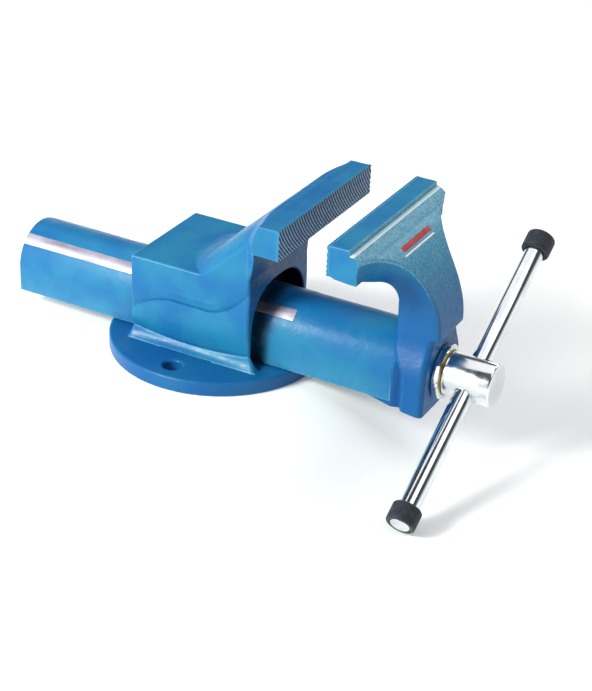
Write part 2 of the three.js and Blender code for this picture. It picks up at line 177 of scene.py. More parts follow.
def smooth(t):
    t = np.clip(t, 0, 1)
    return t * t * (3 - 2 * t)


def block(x, y, z, low, high, radius):
    """A box with rounded edges."""
    outside = []
    for value, a, b in ((x, low[0], high[0]), (y, low[1], high[1]), (z, low[2], high[2])):
        outside.append(np.abs(value - (a + b) / 2) - (b - a) / 2 + radius)
    far = np.sqrt(sum(np.maximum(v, 0) ** 2 for v in outside))
    return far + np.minimum(np.maximum.reduce(outside), 0) - radius


def arch(y, z, radius):
    """Inside of an arch around the spindle: a half round over straight sides, open below."""
    across = np.abs(y)
    return np.where(z > AXIS_Z, np.hypot(across, z - AXIS_Z), across) - radius


def base_plate(x, y, z):
    rim = np.hypot(x, y) - PLATE_RADIUS
    plate = both(both(rim, z - PLATE_TOP, 1.6), -z, 0.8)
    for side in (-1, 1):
        hole = np.hypot(x, y - side * BOLT_Y)
        bore = np.minimum(hole - BOLT_HOLE, hole - BOLT_HOLE - (z - PLATE_TOP + BOLT_CHAMFER))
        plate = both(plate, -bore, 0.5)
    for screw_x in SCREW_XS:
        for screw_y in (-SCREW_Y, SCREW_Y):
            hole = np.hypot(x - screw_x, y - screw_y)
            plate = both(plate, -np.minimum(hole - SCREW_HOLE, hole - SCREW_SINK + z))
    return plate


def fixed_jaw_body(x, y, z):
    across = np.abs(y)
    # heights of the raised flat's edge and of the two creases, along the side
    sweep = np.maximum(x - RISE_START, 0) ** 2
    edge = EDGE_HEIGHT + 0.044 * sweep
    crease = CREASE_HEIGHT + 0.021 * sweep - 0.0105 * np.maximum(-9 - x, 0) ** 2
    low_crease = FOOT_HEIGHT + 0.002 * x ** 2
    up = np.clip((z - low_crease) / (crease - low_crease), 0, 1)
    foot = np.clip((low_crease - z) / (low_crease - PLATE_TOP), 0, 1.2)
    skirt = 0.8 * foot + 4.4 * foot ** 2.2
    groove = 0.5 * np.exp(-(z - low_crease) ** 2)
    bulge = 1.9 * np.sin(math.pi * up)
    barrel = BARREL_HALF + (FLAT_HALF - BARREL_HALF) * up + bulge + skirt - groove
    step = np.clip((z - crease) / (edge - crease), 0, 1)
    rim = np.exp(-((z - edge) / 1.4) ** 2) * smooth((x + 30) / 20) * smooth((28 - x) / 14)
    flat = FLAT_HALF + (BODY_HALF - FLAT_HALF) * (1 - np.exp(-5 * step))
    half = np.where(z < crease, barrel, flat) + 0.35 * rim
    # the web flares out to the jaw's width
    flare, reach = JAW_HALF - BODY_HALF, BLOCK_REAR - WEB_START
    run = np.clip((x - WEB_START) / reach, 0, 1.1)
    raised = smooth((z - WEB_BOTTOM) / 12)
    half = half + flare * run ** 1.7 * raised
    slope = 1.7 * flare / reach * run ** 0.7 * raised
    sides = (across - half) / np.sqrt(1 + slope ** 2)
    sides = both(sides, across - np.where(z < AXIS_Z, FOOT_HALF, JAW_HALF + 10), 1.3)
    # top: the anvil, and the crowned ramp behind the jaw
    crown = 11.5 * np.clip((across / half - 0.5) / 0.5, 0, 1.1) ** 2.2
    ramp = 0.73 * (z - (JAW_TOP + 0.93 * (x - BLOCK_REAR) - crown))
    top = both(either(z - ANVIL_TOP, ramp, 0.8 + 5 * smooth((32 - across) / 20)), z - JAW_TOP, 1)
    shoulder = 1.6 + 1.2 * smooth((x - 4) / 12) * smooth((z - ANVIL_TOP + 1) / 8)
    front = (x - BODY_FRONT - 6.6 * foot ** 1.6 - 0.397 * np.maximum(z - FRONT_LEAN_START, 0)) / 1.076
    ends = np.maximum(front, BODY_REAR - 2.2 * foot - x)
    body = both(both(top, sides, shoulder), ends, 2)
    # the jaw's block
    low, high = (BLOCK_REAR, -JAW_HALF, BLOCK_BOTTOM), (FIXED_FACE - PLATE_STEP, JAW_HALF, JAW_TOP)
    jaw = block(x, y, z, low, high, 0.8)
    chamfer = 0.928 * (BLOCK_REAR - x) + 0.371 * (z - JAW_TOP) + 3.71
    jaw = both(jaw, chamfer, 0.8)
    body = either(body, jaw, 1.6)
    body = both(both(body, across - JAW_HALF, 0.8), z - JAW_TOP, 0.8)
    # way for the slide, and the wider opening at its front
    above = np.maximum(z - AXIS_Z, 0)
    opening = (across ** OPENING_POWER + above ** OPENING_POWER) ** (1 / OPENING_POWER) - OPENING
    opening = both(opening, BODY_FRONT - OPENING_DEPTH - x, 1)
    body = both(body, -opening, 1.4)
    body = both(body, -arch(y, z, WAY_RADIUS), 0.8)
    return np.maximum(body, PLATE_TOP - 0.2 - z)


def arm_half_width(x, z):
    """Half width of the arm and its slope, by the angle round the throat's centre."""
    out, up = x - THROAT[0], z - THROAT[1]
    turn = np.clip(np.arctan2(up, out) / FLARE_ANGLE, 0, 1.06)
    turn = np.where(up < 0, 0, turn)
    half = ARM_HALF + 8 * turn + 33 * turn ** 4
    slope = (8 + 4 * 33 * turn ** 3) / FLARE_ANGLE / np.maximum(np.hypot(out, up), 12)
    return half, np.where(turn > 0, slope, 0)


def moving_jaw(x, y, z):
    across = np.abs(y)
    half, slope = arm_half_width(x, z)
    under_block = np.maximum(JAW_HALF - 2.7 * (BLOCK_BOTTOM - z), SOFFIT_HALF)
    half = np.minimum(half, under_block) + COLUMN_SPREAD * smooth((ARM_STEP[0] - 1 - z) / 24)
    sides = (across - half) / np.sqrt(1 + slope ** 2)
    # side view: round front above, column below, with its rear edge running forward down the slide
    flat = ARM_FLATTENING * np.exp(-((z - ARM_FLAT_Z) / ARM_FLAT_SPREAD) ** 2)
    round_front = np.hypot(x - ARM_CENTRE[0], z - ARM_CENTRE[1]) - ARM_RADIUS + flat
    upper = both(round_front, ARM_STEP[0] - z, 2.5)
    lower = np.maximum(x - COLUMN_FRONT, z - ARM_STEP[1])
    profile = either(upper, lower, 3)
    # the throat is round above and open below
    throat = THROAT_RADIUS - np.hypot(x - THROAT[0], np.maximum(z - THROAT[1], 0))
    profile = both(profile, throat, 1.5)
    rear = COLUMN_REAR - 3 + 9 * smooth((50 - z) / 20)
    profile = both(profile, np.where(z < 52, rear - x, -20), 1.2)
    profile = np.maximum(profile, MOVING_FACE + 5 - x)
    neck = both(profile, sides, 1.0 + 2.8 * smooth((112 - z) / 50))
    neck = both(neck, COLUMN_BOTTOM + 0.1 * (COLUMN_FRONT - x) - z, 1.5)
    # the jaw's block, with a sloping underside
    low, high = (MOVING_FACE + PLATE_STEP, -JAW_HALF, 100), (MOVING_BLOCK_FRONT, JAW_HALF, JAW_TOP)
    jaw = block(x, y, z, low, high, 0.8)
    underside = (BLOCK_BOTTOM - 0.12 * (x - MOVING_FACE) - z) / 1.007
    jaw = both(jaw, underside, 0.9)
    arm = either(neck, jaw, 2 + 4 * smooth((z - 107) / 7))
    # the stretch of the slide that runs into the column, and narrows before it
    dip = 4.4 * smooth((x - 122) / 26)
    waist = 2.4 * smooth((x - 142.7) / 6)
    sleeve = both(arch(y, z, TUBE_RADIUS - 0.25 - waist), TUBE_BOTTOM - dip - z + 0.2, 0.8)
    sleeve = np.maximum(sleeve, np.maximum(118 - x, x - COLUMN_REAR - 12))
    whole = either(arm, sleeve, 1.4)
    # milled top, and the ridge behind it with its sloping front
    milled = both(z - JAW_TOP, x - MILLED_REAR, 0.6)
    slant = np.minimum(0.6 * (x - RIDGE_FRONT) + 0.8 * (z - RIDGE_TOP), z - SLANT_BOTTOM)
    ridge = both(z - RIDGE_TOP, slant, 0.5)
    whole = both(whole, np.minimum(ridge, milled), 0.5)
    whole = both(whole, across - JAW_HALF, 0.8)
    hollow = np.maximum(arch(y, z, TUBE_RADIUS - TUBE_WALL - 0.1), x - COLUMN_REAR)
    whole = np.maximum(whole, -hollow)
    return np.maximum(whole, SPINDLE_BORE - np.hypot(y, z - AXIS_Z))


# ---- Meshes --------------------------------------------------------------------------------------

def finish_mesh(name, points, faces, normals=None, sharp=None):
    """A smooth-shaded object from points in mm. Faces turn outwards where no normals are given."""
    mesh = bpy.data.meshes.new(name)
    mesh.from_pydata((np.asarray(points) * MM).tolist(), [], [list(f) for f in faces])
    if normals is None:
        bm = bmesh.new()
        bm.from_mesh(mesh)
        bmesh.ops.remove_doubles(bm, verts=bm.verts, dist=1e-7)
        bmesh.ops.recalc_face_normals(bm, faces=bm.faces)
        bm.to_mesh(mesh)
        bm.free()
    mesh.shade_smooth()
    if normals is not None:
        mesh.normals_split_custom_set_from_vertices(normals.tolist())
    if sharp is not None:
        mesh.set_sharp_from_angle(angle=math.radians(sharp))
    thing = bpy.data.objects.new(name, mesh)
    bpy.context.scene.collection.objects.link(thing)
    return thing


def gradient(shape, points, reach=0.05):
    slopes = np.empty_like(points)
    for axis in range(3):
        ahead, behind = points.copy(), points.copy()
        ahead[:, axis] += reach
        behind[:, axis] -= reach
        slopes[:, axis] = (shape(*ahead.T) - shape(*behind.T)) / (2 * reach)
    return slopes


def skin(name, shape, low, high, step=SKIN_STEP):
    """Meshes the surface where shape(x, y, z) is zero: one point in each grid cell that it crosses."""
    axes = [np.arange(a - 1.5 * step, b + 2.5 * step, step) for a, b in zip(low, high)]
    values = np.stack([shape(*np.meshgrid([x], axes[1], axes[2], indexing="ij"))[0] for x in axes[0]])
    inside = values < 0
    size = [n - 1 for n in values.shape]
    corners = [(i, j, k) for i in (0, 1) for j in (0, 1) for k in (0, 1)]
    count = np.zeros(size, np.int8)
    for i, j, k in corners:
        count += inside[i:size[0] + i, j:size[1] + j, k:size[2] + k]
    crossed = (count > 0) & (count < 8)
    cells = np.argwhere(crossed)
    number = np.full(size, -1)
    number[crossed] = np.arange(len(cells))
    # each cell's point starts at the middle of the places where the surface crosses its edges
    total, hits = np.zeros((len(cells), 3)), np.zeros(len(cells))
    for axis in range(3):
        for corner in (c for c in corners if not c[axis]):
            start = cells + corner
            end = start.copy()
            end[:, axis] += 1
            a, b = values[tuple(start.T)], values[tuple(end.T)]
            cut = (a < 0) != (b < 0)
            point = start[cut].astype(float)
            point[:, axis] += a[cut] / (a[cut] - b[cut])
            total[cut] += point
            hits[cut] += 1
    points = total / hits[:, None] * step + [axis[0] for axis in axes]
    for _ in range(3):
        slopes = gradient(shape, points)
        move = slopes * (shape(*points.T) / np.maximum((slopes ** 2).sum(1), 0.1))[:, None]
        points -= np.clip(move, -0.4 * step, 0.4 * step)
    # one face across each grid edge that the surface crosses
    faces = []
    for axis in range(3):
        one, two = np.roll((0, 1, 0), axis), np.roll((0, 0, 1), axis)
        near = np.moveaxis(inside, axis, 0)
        changes = np.moveaxis(near[1:] != near[:-1], 0, axis)
        edges = np.argwhere(changes)
        quad = np.stack([number[tuple((edges - back).T)] for back in (0 * one, one, one + two, two)], 1)
        outward = inside[tuple(edges.T)]
        quad[~outward] = quad[~outward, ::-1]
        faces.append(quad)
    normals = gradient(shape, points)
    normals /= np.linalg.norm(normals, axis=1, keepdims=True)
    return finish_mesh(name, points, np.concatenate(faces).tolist(), normals)


def arc(centre, radius, start, end, steps=5):
    """Points on an arc, as (radius, height) pairs, with angles in degrees."""
    angles = [math.radians(start + (end - start) * i / steps) for i in range(steps + 1)]
    return [(centre[0] + radius * math.cos(a), centre[1] + radius * math.sin(a)) for a in angles]


def lathe(name, outline, segments=96, sharp=35, ripple=None):
    """Turns (radius, height) points in mm about Z. An outline that starts and ends on the axis is a
    solid, any other is closed on itself. ripple(angle, radius, height) scales the radius."""
    solid = outline[0][0] == 0 and outline[-1][0] == 0
    rows = outline[1:-1] if solid else outline
    angles = [2 * math.pi * k / segments for k in range(segments)]
    points = []
    for radius, height in rows:
        for angle in angles:
            r = radius * (ripple(angle, radius, height) if ripple else 1)
            points.append((r * math.cos(angle), r * math.sin(angle), height))
    faces = []
    for i in range(len(rows) - solid):
        j = (i + 1) % len(rows)
        for k in range(segments):
            n = (k + 1) % segments
            faces.append((i * segments + k, i * segments + n, j * segments + n, j * segments + k))
    if solid:
        last = (len(rows) - 1) * segments
        faces.append(tuple(range(segments)))
        faces.append(tuple(last + k for k in range(segments)))
    return finish_mesh(name, points, faces, sharp=sharp)


def along(thing, axis, origin):
    """Turns the thing's Z to lie along axis, and moves it to origin, given in mm."""
    turn = Vector((0, 0, 1)).rotation_difference(Vector(axis)).to_matrix().to_4x4()
    thing.data.transform(Matrix.Translation(Vector(origin) * MM) @ turn)
    return thing


def along_spindle(thing):
    return along(thing, (1, 0, 0), (0, 0, AXIS_Z))


def prism(name, outline, low, high, to_row, bevel=0.0, segments=3, sharp=35):
    """Runs a closed outline of (u, v) points from low to high, with its edges bevelled.
    to_row(u, v, w) gives the place in the row frame."""
    count = len(outline)
    points = [to_row(u, v, w) for w in (low, high) for u, v in outline]
    faces = [tuple(range(count)), tuple(range(count, 2 * count))]
    faces += [(i, (i + 1) % count, count + (i + 1) % count, count + i) for i in range(count)]
    thing = finish_mesh(name, points, faces)
    if bevel:
        cut = thing.modifiers.new("bevel", "BEVEL")
        cut.width = bevel * MM
        cut.segments = segments
        cut.limit_method = "ANGLE"
        cut.angle_limit = math.radians(sharp)
        apply_modifiers(thing)
    thing.data.shade_smooth()
    thing.data.set_sharp_from_angle(angle=math.radians(sharp))
    return thing


def apply_modifiers(thing):
    bpy.context.view_layer.update()
    evaluated = thing.evaluated_get(bpy.context.evaluated_depsgraph_get())
    mesh = bpy.data.meshes.new_from_object(evaluated)
    thing.modifiers.clear()
    old, thing.data = thing.data, mesh
    bpy.data.meshes.remove(old)


# ---- Pieces ----------------------------------------------------------------------------------------

def slide_tube():
    """The arched slide, with rounded lower corners and bevelled ends."""
    inner = TUBE_RADIUS - TUBE_WALL
    outline = [(TUBE_RADIUS, TUBE_BOTTOM)] + arc((0, AXIS_Z), TUBE_RADIUS, 0, 180, 64)
    outline += [(-TUBE_RADIUS, TUBE_BOTTOM), (-inner, TUBE_BOTTOM)]
    outline += arc((0, AXIS_Z), inner, 180, 0, 48) + [(inner, TUBE_BOTTOM)]
    return prism("slide", outline, tube_low[0], tube_high[0], lambda u, v, w: (w, u, v), bevel=0.9)


def guide_strip(name, side):
    """A ground guide face along the shoulder of the slide, standing just proud of the paint."""
    middle, half, end = math.radians(42.8), math.radians(8.9), 68.0
    outline = []
    for radius, first, last in ((TUBE_RADIUS + 0.3, -half, half), (TUBE_RADIUS - 1.2, half, -half)):
        for i in range(7):
            turn = side * (middle + first + (last - first) * i / 6)
            outline.append((radius * math.sin(turn), AXIS_Z + radius * math.cos(turn)))
    return prism(name, outline, tube_low[0] + 0.5, end, lambda u, v, w: (w, u, v), bevel=0.15, segments=1)


def jaw_face(name, face_x, outward):
    """Grooved face of a jaw: V grooves along arcs, cut from the jaw's full width."""
    pitch, depth, thick, sweep = 3.0, 0.45, 2.2, 16.0
    bottom, top = BLOCK_BOTTOM + 0.15, JAW_TOP - 0.15
    rows = 20
    heights = [bottom + (top - bottom) * i / rows for i in range(rows + 1)]
    profile = ((0.0, 0.0), (0.16, 0.0), (0.58, 1.0), (0.74, 1.0))
    count = int((2 * JAW_HALF + sweep) / pitch) + 2
    start = -JAW_HALF - sweep - pitch
    columns = [(start + (i + share) * pitch, drop) for i in range(count) for share, drop in profile]
    points = []
    for height in heights:
        down = (top - height) / (top - bottom)
        shift = sweep * (0.62 * down + 0.38 * down ** 2)
        points += [(face_x - outward * depth * drop, y + shift, height) for y, drop in columns]
    back = face_x - outward * thick
    points += [(back, y, z) for z in (heights[0], heights[-1]) for y in (columns[0][0], columns[-1][0])]
    wide, tall = len(columns), len(heights)
    faces = [(r * wide + c, r * wide + c + 1, (r + 1) * wide + c + 1, (r + 1) * wide + c)
             for r in range(tall - 1) for c in range(wide - 1)]
    a, b, c, d = range(wide * tall, wide * tall + 4)
    last = (tall - 1) * wide
    faces.append((*range(wide), b, a))
    faces.append((*range(last, last + wide), d, c))
    faces.append((*(r * wide for r in range(tall)), c, a))
    faces.append((*(r * wide + wide - 1 for r in range(tall)), d, b))
    faces.append((a, b, d, c))
    thing = finish_mesh(name, points, faces)
    bm = bmesh.new()
    bm.from_mesh(thing.data)
    for side in (-1, 1):
        cut = bmesh.ops.bisect_plane(
            bm, geom=bm.verts[:] + bm.edges[:] + bm.faces[:], plane_co=(0, side * (JAW_HALF - 0.12) * MM, 0),
            plane_no=(0, side, 0), clear_outer=True)
        rim = [e for e in cut["geom_cut"] if isinstance(e, bmesh.types.BMEdge)]
        bmesh.ops.holes_fill(bm, edges=rim)
    bmesh.ops.recalc_face_normals(bm, faces=bm.faces)
    bm.to_mesh(thing.data)
    bm.free()
    thing.data.shade_smooth()
    thing.data.set_sharp_from_angle(angle=math.radians(20))
    return thing


def threaded_spindle():
    """Screw with a Tr 20 x 4 thread, and a plain journal that runs on into the head."""
    start, end = spindle_low[0], THREAD_END
    crest, root, journal, pitch, segments = 10.0, 7.75, 9.7, 4.0, 40
    flanks = ((0.0, root), (1.45, root), (2.0, crest), (3.45, crest))
    turns = int((end - start) / pitch)
    rows = [(start + i * pitch + offset, radius) for i in range(-1, turns) for offset, radius in flanks]
    points = []
    for x, radius in rows:
        for k in range(segments):
            place = x + pitch * k / segments
            fade = min(1, max(0, (place - start) / 6), max(0, (end - place) / 6))
            r = root + (radius - root) * fade
            place = min(max(place, start + 1), end)
            angle = 2 * math.pi * k / segments
            points.append((place, r * math.cos(angle), AXIS_Z + r * math.sin(angle)))
    faces = []
    for i in range(len(rows) - 1):
        for k in range(segments - 1):
            a = i * segments + k
            faces.append((a, a + 1, a + segments + 1, a + segments))
        joined = i + len(flanks)
        if joined + 1 < len(rows):
            faces.append((i * segments + segments - 1, joined * segments, (joined + 1) * segments,
                          (i + 1) * segments + segments - 1))
    thread = finish_mesh("spindle_thread", points, faces, sharp=30)
    core = along_spindle(lathe("spindle_journal", [
        (0, start), (root - 1.2, start), (root - 0.1, start + 1.1), (root - 0.1, end - 1),
        (journal, end - 1), (journal, HEAD_REAR - 0.2), (0, HEAD_REAR - 0.2)]))
    return thread, core


def spindle_head():
    """Head of the spindle, with the crossing hole for the handle."""
    rear, front, edge = HEAD_REAR, HEAD_FRONT, 1.4
    outline = [(0, rear), (HEAD_RADIUS - 0.6, rear), *arc((HEAD_RADIUS - 0.6, rear + 0.6), 0.6, -90, 0, 3)]
    outline += arc((HEAD_RADIUS - edge, front - edge), edge, 0, 90, 5)
    outline += [(HEAD_RADIUS - edge - 0.4, front), (0, front)]
    head = along_spindle(lathe("spindle_head", outline, segments=128))
    bore, past, sink = HANDLE_RADIUS + 0.3, 20, 2.7
    hole = lathe("hole", [(0, -past), (bore, -past), (bore, past), (0, past)], 64)
    along(hole, HANDLE_AXIS, HEAD_CENTRE)
    foot = 12.6
    lip = foot + sink
    rim = lathe("rim", [(0, foot), (bore, foot), (bore + sink, lip), (0, lip)], 64)
    rims = [rim, rim.copy()]
    rims[1].data = rim.data.copy()
    bpy.context.scene.collection.objects.link(rims[1])
    along(rims[0], HANDLE_AXIS, HEAD_CENTRE)
    along(rims[1], -HANDLE_AXIS, HEAD_CENTRE)
    for tool in (hole, *rims):
        cut = head.modifiers.new("cut", "BOOLEAN")
        cut.object = tool
        cut.operation = "DIFFERENCE"
        cut.solver = "EXACT"
    apply_modifiers(head)
    for tool in (hole, *rims):
        bpy.data.objects.remove(tool)
    head.data.shade_smooth()
    head.data.set_sharp_from_angle(angle=math.radians(30))
    return head


def handle_bar():
    """Bar with rounded ends."""
    edge = 1.1
    outline = [(0, -HANDLE_HALF), *arc((HANDLE_RADIUS - edge, edge - HANDLE_HALF), edge, -90, 0, 5)]
    outline += [*arc((HANDLE_RADIUS - edge, HANDLE_HALF - edge), edge, 0, 90, 5), (0, HANDLE_HALF)]
    return along(lathe("handle", outline, segments=96), HANDLE_AXIS, HANDLE_CENTRE)


def grip_ring(name, node, side):
    """Moulded rubber ring with fine ribs round it and rounded shoulders."""
    low, high = box_mm(node)
    middle = HANDLE_CENTRE + HANDLE_AXIS * (Vector((low + high) / 2) - HANDLE_CENTRE).dot(HANDLE_AXIS)
    radius = (high[0] - low[0]) / 2
    half, bore, edge, ribs = 6.5, HANDLE_RADIUS + 0.05, 1.5, 36

    def ripple(angle, r, height):
        if r < radius - edge or abs(height) > half - 1.2:
            return 1
        return 1 - 0.022 * (0.5 + 0.5 * math.cos(ribs * angle)) ** 2

    outline = [(bore, -half + 0.4), (bore + 0.4, -half)]
    outline += arc((radius - edge, edge - half), edge, -90, 0, 5)
    outline += [(radius, 2 - half), (radius, 0), (radius, half - 2)]
    outline += arc((radius - edge, half - edge), edge, 0, 90, 5)
    outline += [(bore + 0.4, half), (bore, half - 0.4)]
    ring = lathe(name, outline, segments=ribs * 8, sharp=50, ripple=ripple)
    return along(ring, HANDLE_AXIS * side, middle)


# ---- Materials ---------------------------------------------------------------------------------------

def srgb(red, green, blue):
    """A colour given as 0 to 255 on a screen, as the linear colour that a shader takes."""
    shares = (red / 255, green / 255, blue / 255)
    return (*(c / 12.92 if c < 0.04045 else ((c + 0.055) / 1.055) ** 2.4 for c in shares), 1)


PAINT = srgb(25, 111, 151)
PAINT_DEEP = srgb(11, 94, 149)
# the blue paint as it looks in shade, used as painted shade
PAINTED_SHADE_BLUE = srgb(6, 76, 138)
PAINT_EDGE_WEAR_AND_HIGHLIGHT = srgb(96, 165, 194)
PANEL = srgb(102, 166, 186)
PANEL_DEEP = srgb(62, 134, 166)
PRINT_RED = srgb(158, 14, 22)
PRINT_WHITE = srgb(232, 238, 242)

# the plain bar and line on the moving jaw: from and to, in mm
BAR_WIDTH, BAR_HEIGHTS = (-20, 19.5), (113.7, 116.1)
LINE_WIDTH, LINE_HEIGHTS = (-22, 19.4), (111.9, 112.6)


class Finish:
    """A node material, with short calls for the nodes that the finishes share."""

    def __init__(self, name, values):
        self.material = bpy.data.materials.new(name)
        self.material.use_nodes = True
        self.nodes = self.material.node_tree.nodes
        self.links = self.material.node_tree.links
        self.shader = self.nodes["Principled BSDF"]
        coordinates = self.nodes.new("ShaderNodeTexCoord")
        self.place = coordinates.outputs["Object"]
        self.facing = coordinates.outputs["Normal"]
        for socket, value in values.items():
            self.shader.inputs[socket].default_value = value

    def put(self, socket, value):
        if isinstance(value, bpy.types.NodeSocket):
            self.links.new(value, socket)
        else:
            socket.default_value = value

    def noise(self, size, detail=2.0, stretch=(1, 1, 1)):
        """Smooth noise with features about size mm across, stretched along X, Y and Z."""
        mapping = self.nodes.new("ShaderNodeMapping")
        self.links.new(self.place, mapping.inputs["Vector"])
        mapping.inputs["Scale"].default_value = [1 / share for share in stretch]
        texture = self.nodes.new("ShaderNodeTexNoise")
        self.links.new(mapping.outputs["Vector"], texture.inputs["Vector"])
        texture.inputs["Scale"].default_value = 1 / (size * MM)
        texture.inputs["Detail"].default_value = detail
        return texture.outputs["Fac"]

    def span(self, value, start, end, low=0.0, high=1.0):
        """Takes value from start..end to low..high, smoothly and within those limits."""
        node = self.nodes.new("ShaderNodeMapRange")
        node.interpolation_type = "SMOOTHSTEP"
        for name, number in (("From Min", start), ("From Max", end), ("To Min", low), ("To Max", high)):
            node.inputs[name].default_value = number
        self.put(node.inputs["Value"], value)
        return node.outputs["Result"]

    def math(self, kind, a, b):
        node = self.nodes.new("ShaderNodeMath")
        node.operation = kind
        self.put(node.inputs[0], a)
        self.put(node.inputs[1], b)
        return node.outputs["Value"]

    def mix(self, share, a, b):
        node = self.nodes.new("ShaderNodeMix")
        node.data_type = "RGBA"
        self.put(node.inputs["Factor"], share)
        self.put(node.inputs[6], a)
        self.put(node.inputs[7], b)
        return node.outputs[2]

    def split(self, vector):
        node = self.nodes.new("ShaderNodeSeparateXYZ")
        self.links.new(vector, node.inputs["Vector"])
        return node.outputs

    def band(self, value, low, high, blur=0.15):
        """1 where value, a place in metres, is between low and high mm."""
        rise = self.span(value, (low - blur) * MM, (low + blur) * MM)
        fall = self.span(value, (high - blur) * MM, (high + blur) * MM, 1, 0)
        return self.math("MULTIPLY", rise, fall)

    def bump(self, height, depth):
        """Raises the surface by up to depth mm."""
        node = self.nodes.new("ShaderNodeBump")
        node.inputs["Distance"].default_value = depth * MM
        self.links.new(height, node.inputs["Height"])
        self.links.new(node.outputs["Normal"], self.shader.inputs["Normal"])

    def edges(self, start, end):
        """1 along worn convex edges, in patches; on the paint they also carry a painted edge highlight."""
        bend = self.nodes.new("ShaderNodeNewGeometry").outputs["Pointiness"]
        patches = self.span(self.noise(5, 3), 0.3, 0.6, 0.6, 1)
        return self.math("MULTIPLY", self.span(bend, start, end), patches)

    def colour(self, value):
        self.put(self.shader.inputs["Base Color"], value)

    def rough(self, value):
        self.put(self.shader.inputs["Roughness"], value)


def paint(name, detail=None):
    """Blue enamel over rough forgings: an uneven coat, thin and pale on the edges, the paleness also a
    painted edge highlight.
    """
    finish = Finish(name, {"Specular IOR Level": 0.22, "Coat Weight": 0.04, "Coat Roughness": 0.35})
    base = finish.mix(finish.span(finish.noise(38, 3), 0.35, 0.65), PAINT_DEEP, PAINT)
    # pale edges: thin paint, and a painted highlight where the light catches them
    base = finish.mix(finish.edges(0.52, 0.61), base, PAINT_EDGE_WEAR_AND_HIGHLIGHT)
    if detail:
        base = detail(finish, base)
    finish.colour(base)
    finish.rough(finish.span(finish.noise(6, 3), 0.3, 0.7, 0.3, 0.44))
    peel = finish.math("ADD", finish.math("MULTIPLY", finish.noise(2.2, 1), 0.35), finish.noise(9, 2))
    finish.bump(peel, 0.3)
    return finish.material


def foot_painted_shade(finish, base):
    """Painted shade: the round foot's coat, mixed towards the blue of paint in shade."""
    return finish.mix(0.6, base, PAINTED_SHADE_BLUE)


def slide_painted_shadow(finish, base):
    """Painted shadow: the housing's shadow, dark on the slide where it leaves the housing at rest."""
    x = finish.split(finish.place)[0]
    # painted shadow of the housing's front edge on the slide
    housing_shadow = finish.math("MULTIPLY", finish.span(x, 0.034, 0.044), finish.span(x, 0.046, 0.056, 1, 0))
    housing_shadow = finish.math("MULTIPLY", housing_shadow, finish.span(finish.noise(6, 3), 0.25, 0.5, 0.55, 0.9))
    return finish.mix(housing_shadow, base, srgb(6, 18, 36))


def housing_shade_and_oil(finish, base):
    """Painted shade: a dark, greyish speckle on the forward-facing front under the jaw; and an oiled,
    unpainted way round the slide, also painted shade inside the opening. The same dark paint darkens the rim
    of the rear opening."""
    x, y, z = finish.split(finish.place)[:3]
    # painted shade: faces turned forward are mixed towards a dark speckle, more so higher up
    ahead = finish.span(finish.split(finish.facing)[0], 0.75, 0.95)
    front = finish.math("MULTIPLY", ahead, finish.span(z, 0.050, 0.075, 0.2, 1))
    front_shade_grey = finish.mix(finish.span(finish.noise(2.5, 4), 0.35, 0.65), srgb(18, 44, 80), srgb(46, 82, 120))
    base = finish.mix(finish.math("MULTIPLY", front, 0.8), base, front_shade_grey)
    across = finish.math("POWER", finish.math("ABSOLUTE", y, 0), OPENING_POWER)
    reach = finish.math("MAXIMUM", finish.math("SUBTRACT", z, AXIS_Z * MM), 0)
    total = finish.math("ADD", across, finish.math("POWER", reach, OPENING_POWER))
    out = finish.math("POWER", total, 1 / OPENING_POWER)
    # dark oiled steel inside the way, and painted shade in the opening
    inside = finish.span(out, (OPENING + 0.3) * MM, (OPENING + 1.5) * MM, 1, 0)
    oil_and_shade = finish.mix(finish.noise(7, 3), srgb(9, 14, 24), srgb(24, 32, 44))
    return finish.mix(inside, base, oil_and_shade)


def hammered_panel(finish, base):
    """The moving jaw: a paler hammered coat on its front face, lighter towards the top as a painted
    sheen, with a plain red bar over a thin white line, a painted highlight along the ridge, and painted
    shade below the block."""
    x, y, z = finish.split(finish.place)[:3]
    out = finish.math("SUBTRACT", x, ARM_CENTRE[0] * MM)
    up = finish.math("MAXIMUM", finish.math("SUBTRACT", z, ARM_CENTRE[1] * MM), 0)
    squares = finish.math("ADD", finish.math("POWER", out, 2), finish.math("POWER", up, 2))
    from_centre = finish.math("SQRT", squares, 0)
    front = finish.span(from_centre, (ARM_RADIUS - 3.2) * MM, (ARM_RADIUS - 2.2) * MM)
    front = finish.math("MULTIPLY", front, finish.span(finish.split(finish.facing)[0], 0.3, 0.5))
    speckle = finish.span(finish.noise(1.5, 3), 0.36, 0.66)
    pale = finish.mix(speckle, PANEL_DEEP, PANEL)
    # painted shade: below the jaw's block, the arm and column are darkened towards the blue of paint in
    # shade, as in the block's shadow
    base = finish.mix(finish.span(z, 0.095, 0.108, 0.75, 0), base, PAINTED_SHADE_BLUE)
    # the pale hammered coat is the panel's own; its fade from 0.95 at the top to 0.1 lower down is a painted
    # sheen
    base = finish.mix(finish.math("MULTIPLY", front, finish.span(z, 0.070, 0.120, 0.1, 0.95)), base, pale)
    bar = finish.math("MULTIPLY", finish.band(y, *BAR_WIDTH), finish.band(z, *BAR_HEIGHTS))
    line = finish.math("MULTIPLY", finish.band(y, *LINE_WIDTH), finish.band(z, *LINE_HEIGHTS))
    # painted highlight: a pale line along the ridge's top edge
    ridge_highlight = finish.math("MULTIPLY", finish.band(z, 123.5, 125.2), finish.band(x, 126.3, 128.8))
    base = finish.mix(ridge_highlight, base, srgb(196, 218, 226))
    base = finish.mix(finish.math("MULTIPLY", front, bar), base, PRINT_RED)
    return finish.mix(finish.math("MULTIPLY", front, line), base, PRINT_WHITE)


